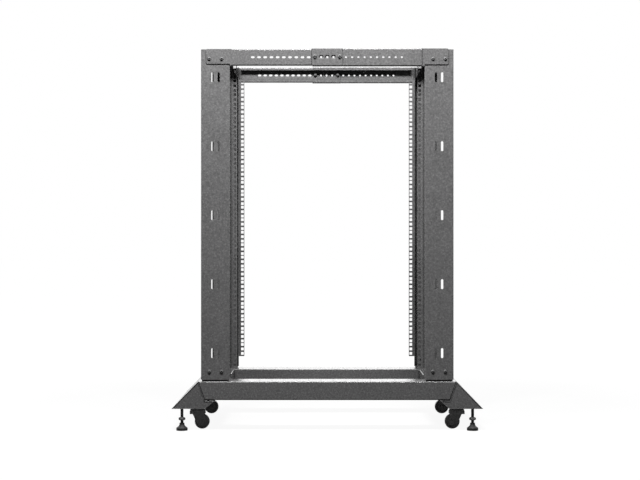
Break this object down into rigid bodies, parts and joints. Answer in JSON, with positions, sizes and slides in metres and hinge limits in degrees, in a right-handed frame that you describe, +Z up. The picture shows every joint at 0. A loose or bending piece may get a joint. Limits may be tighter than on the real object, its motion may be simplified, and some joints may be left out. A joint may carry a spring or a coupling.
{
  "type": "open-frame rack",
  "caption": "Open-frame equipment rack with folded steel posts, telescoping top rails, casters and levelling feet.",
  "frame": {"origin": "floor below the middle of the rack", "axes": "+X towards the rear, +Y towards the left side seen from the front, +Z up"},
  "size_m": [1.004, 0.5192, 1.2319],
  "materials": {
    "powder_coat": "fine textured powder coat",
    "dark_steel": "black plated steel",
    "foot_plastic": "moulded nylon",
    "wheel_rubber": "worn tread"
  },
  "bodies": {
    "rack": {"base_rail_left": "powder_coat", "base_rail_right": "powder_coat", "caster_plate_front_left": "dark_steel", "caster_plate_front_right": "dark_steel", "caster_plate_rear_left": "dark_steel", "caster_plate_rear_right": "dark_steel", "foot_beam_front": "powder_coat", "foot_beam_rear": "powder_coat", "foot_end_cap_front_left": "powder_coat", "foot_end_cap_front_right": "powder_coat", "foot_end_cap_rear_left": "powder_coat", "foot_end_cap_rear_right": "powder_coat", "post_bracket_front_left": "powder_coat", "post_bracket_front_right": "powder_coat", "post_bracket_rear_left": "powder_coat", "post_bracket_rear_right": "powder_coat", "post_front_left": "powder_coat", "post_front_right": "powder_coat", "post_rear_left": "powder_coat", "post_rear_right": "powder_coat", "top_crossbar_front": "powder_coat", "top_crossbar_rear": "powder_coat", "top_rail_inner_left": "powder_coat", "top_rail_inner_right": "powder_coat", "top_rail_outer_left": "powder_coat", "top_rail_outer_right": "powder_coat", "top_rail_sleeve_left": "powder_coat", "top_rail_sleeve_right": "powder_coat"},
    "fork_front_right": {"caster_fork_front_right": "dark_steel"},
    "wheel_front_right": {"caster_wheel_front_right": "wheel_rubber"},
    "leveller_front_right": {"leveller_stem_front_right": "dark_steel", "leveller_foot_front_right": "foot_plastic"},
    "fork_front_left": {"caster_fork_front_left": "dark_steel"},
    "wheel_front_left": {"caster_wheel_front_left": "wheel_rubber"},
    "leveller_front_left": {"leveller_stem_front_left": "dark_steel", "leveller_foot_front_left": "foot_plastic"},
    "fork_rear_right": {"caster_fork_rear_right": "dark_steel"},
    "wheel_rear_right": {"caster_wheel_rear_right": "wheel_rubber"},
    "leveller_rear_right": {"leveller_stem_rear_right": "dark_steel", "leveller_foot_rear_right": "foot_plastic"},
    "fork_rear_left": {"caster_fork_rear_left": "dark_steel"},
    "wheel_rear_left": {"caster_wheel_rear_left": "wheel_rubber"},
    "leveller_rear_left": {"leveller_stem_rear_left": "dark_steel", "leveller_foot_rear_left": "foot_plastic"}
  },
  "joints": [
    {"name": "caster_swivel_front_right", "type": "hinge", "parent": "rack", "child": "fork_front_right", "pos_m": [-0.422, -0.1985, 0.0585], "axis": [0, 0, 1], "continuous": true},
    {"name": "wheel_spin_front_right", "type": "hinge", "parent": "fork_front_right", "child": "wheel_front_right", "pos_m": [-0.4075, -0.1985, 0.02425], "axis": [0, 1, 0], "continuous": true},
    {"name": "leveller_screw_front_right", "type": "slide", "parent": "rack", "child": "leveller_front_right", "axis": [0, 0, 1], "range_m": [-0.005, 0.01]},
    {"name": "caster_swivel_front_left", "type": "hinge", "parent": "rack", "child": "fork_front_left", "pos_m": [-0.422, 0.1985, 0.0585], "axis": [0, 0, 1], "continuous": true},
    {"name": "wheel_spin_front_left", "type": "hinge", "parent": "fork_front_left", "child": "wheel_front_left", "pos_m": [-0.4075, 0.1985, 0.02425], "axis": [0, 1, 0], "continuous": true},
    {"name": "leveller_screw_front_left", "type": "slide", "parent": "rack", "child": "leveller_front_left", "axis": [0, 0, 1], "range_m": [-0.005, 0.01]},
    {"name": "caster_swivel_rear_right", "type": "hinge", "parent": "rack", "child": "fork_rear_right", "pos_m": [0.422, -0.1985, 0.0585], "axis": [0, 0, 1], "continuous": true},
    {"name": "wheel_spin_rear_right", "type": "hinge", "parent": "fork_rear_right", "child": "wheel_rear_right", "pos_m": [0.4075, -0.1985, 0.02425], "axis": [0, 1, 0], "continuous": true},
    {"name": "leveller_screw_rear_right", "type": "slide", "parent": "rack", "child": "leveller_rear_right", "axis": [0, 0, 1], "range_m": [-0.005, 0.01]},
    {"name": "caster_swivel_rear_left", "type": "hinge", "parent": "rack", "child": "fork_rear_left", "pos_m": [0.422, 0.1985, 0.0585], "axis": [0, 0, 1], "continuous": true},
    {"name": "wheel_spin_rear_left", "type": "hinge", "parent": "fork_rear_left", "child": "wheel_rear_left", "pos_m": [0.4075, 0.1985, 0.02425], "axis": [0, 1, 0], "continuous": true},
    {"name": "leveller_screw_rear_left", "type": "slide", "parent": "rack", "child": "leveller_rear_left", "axis": [0, 0, 1], "range_m": [-0.005, 0.01]}
  ]
}
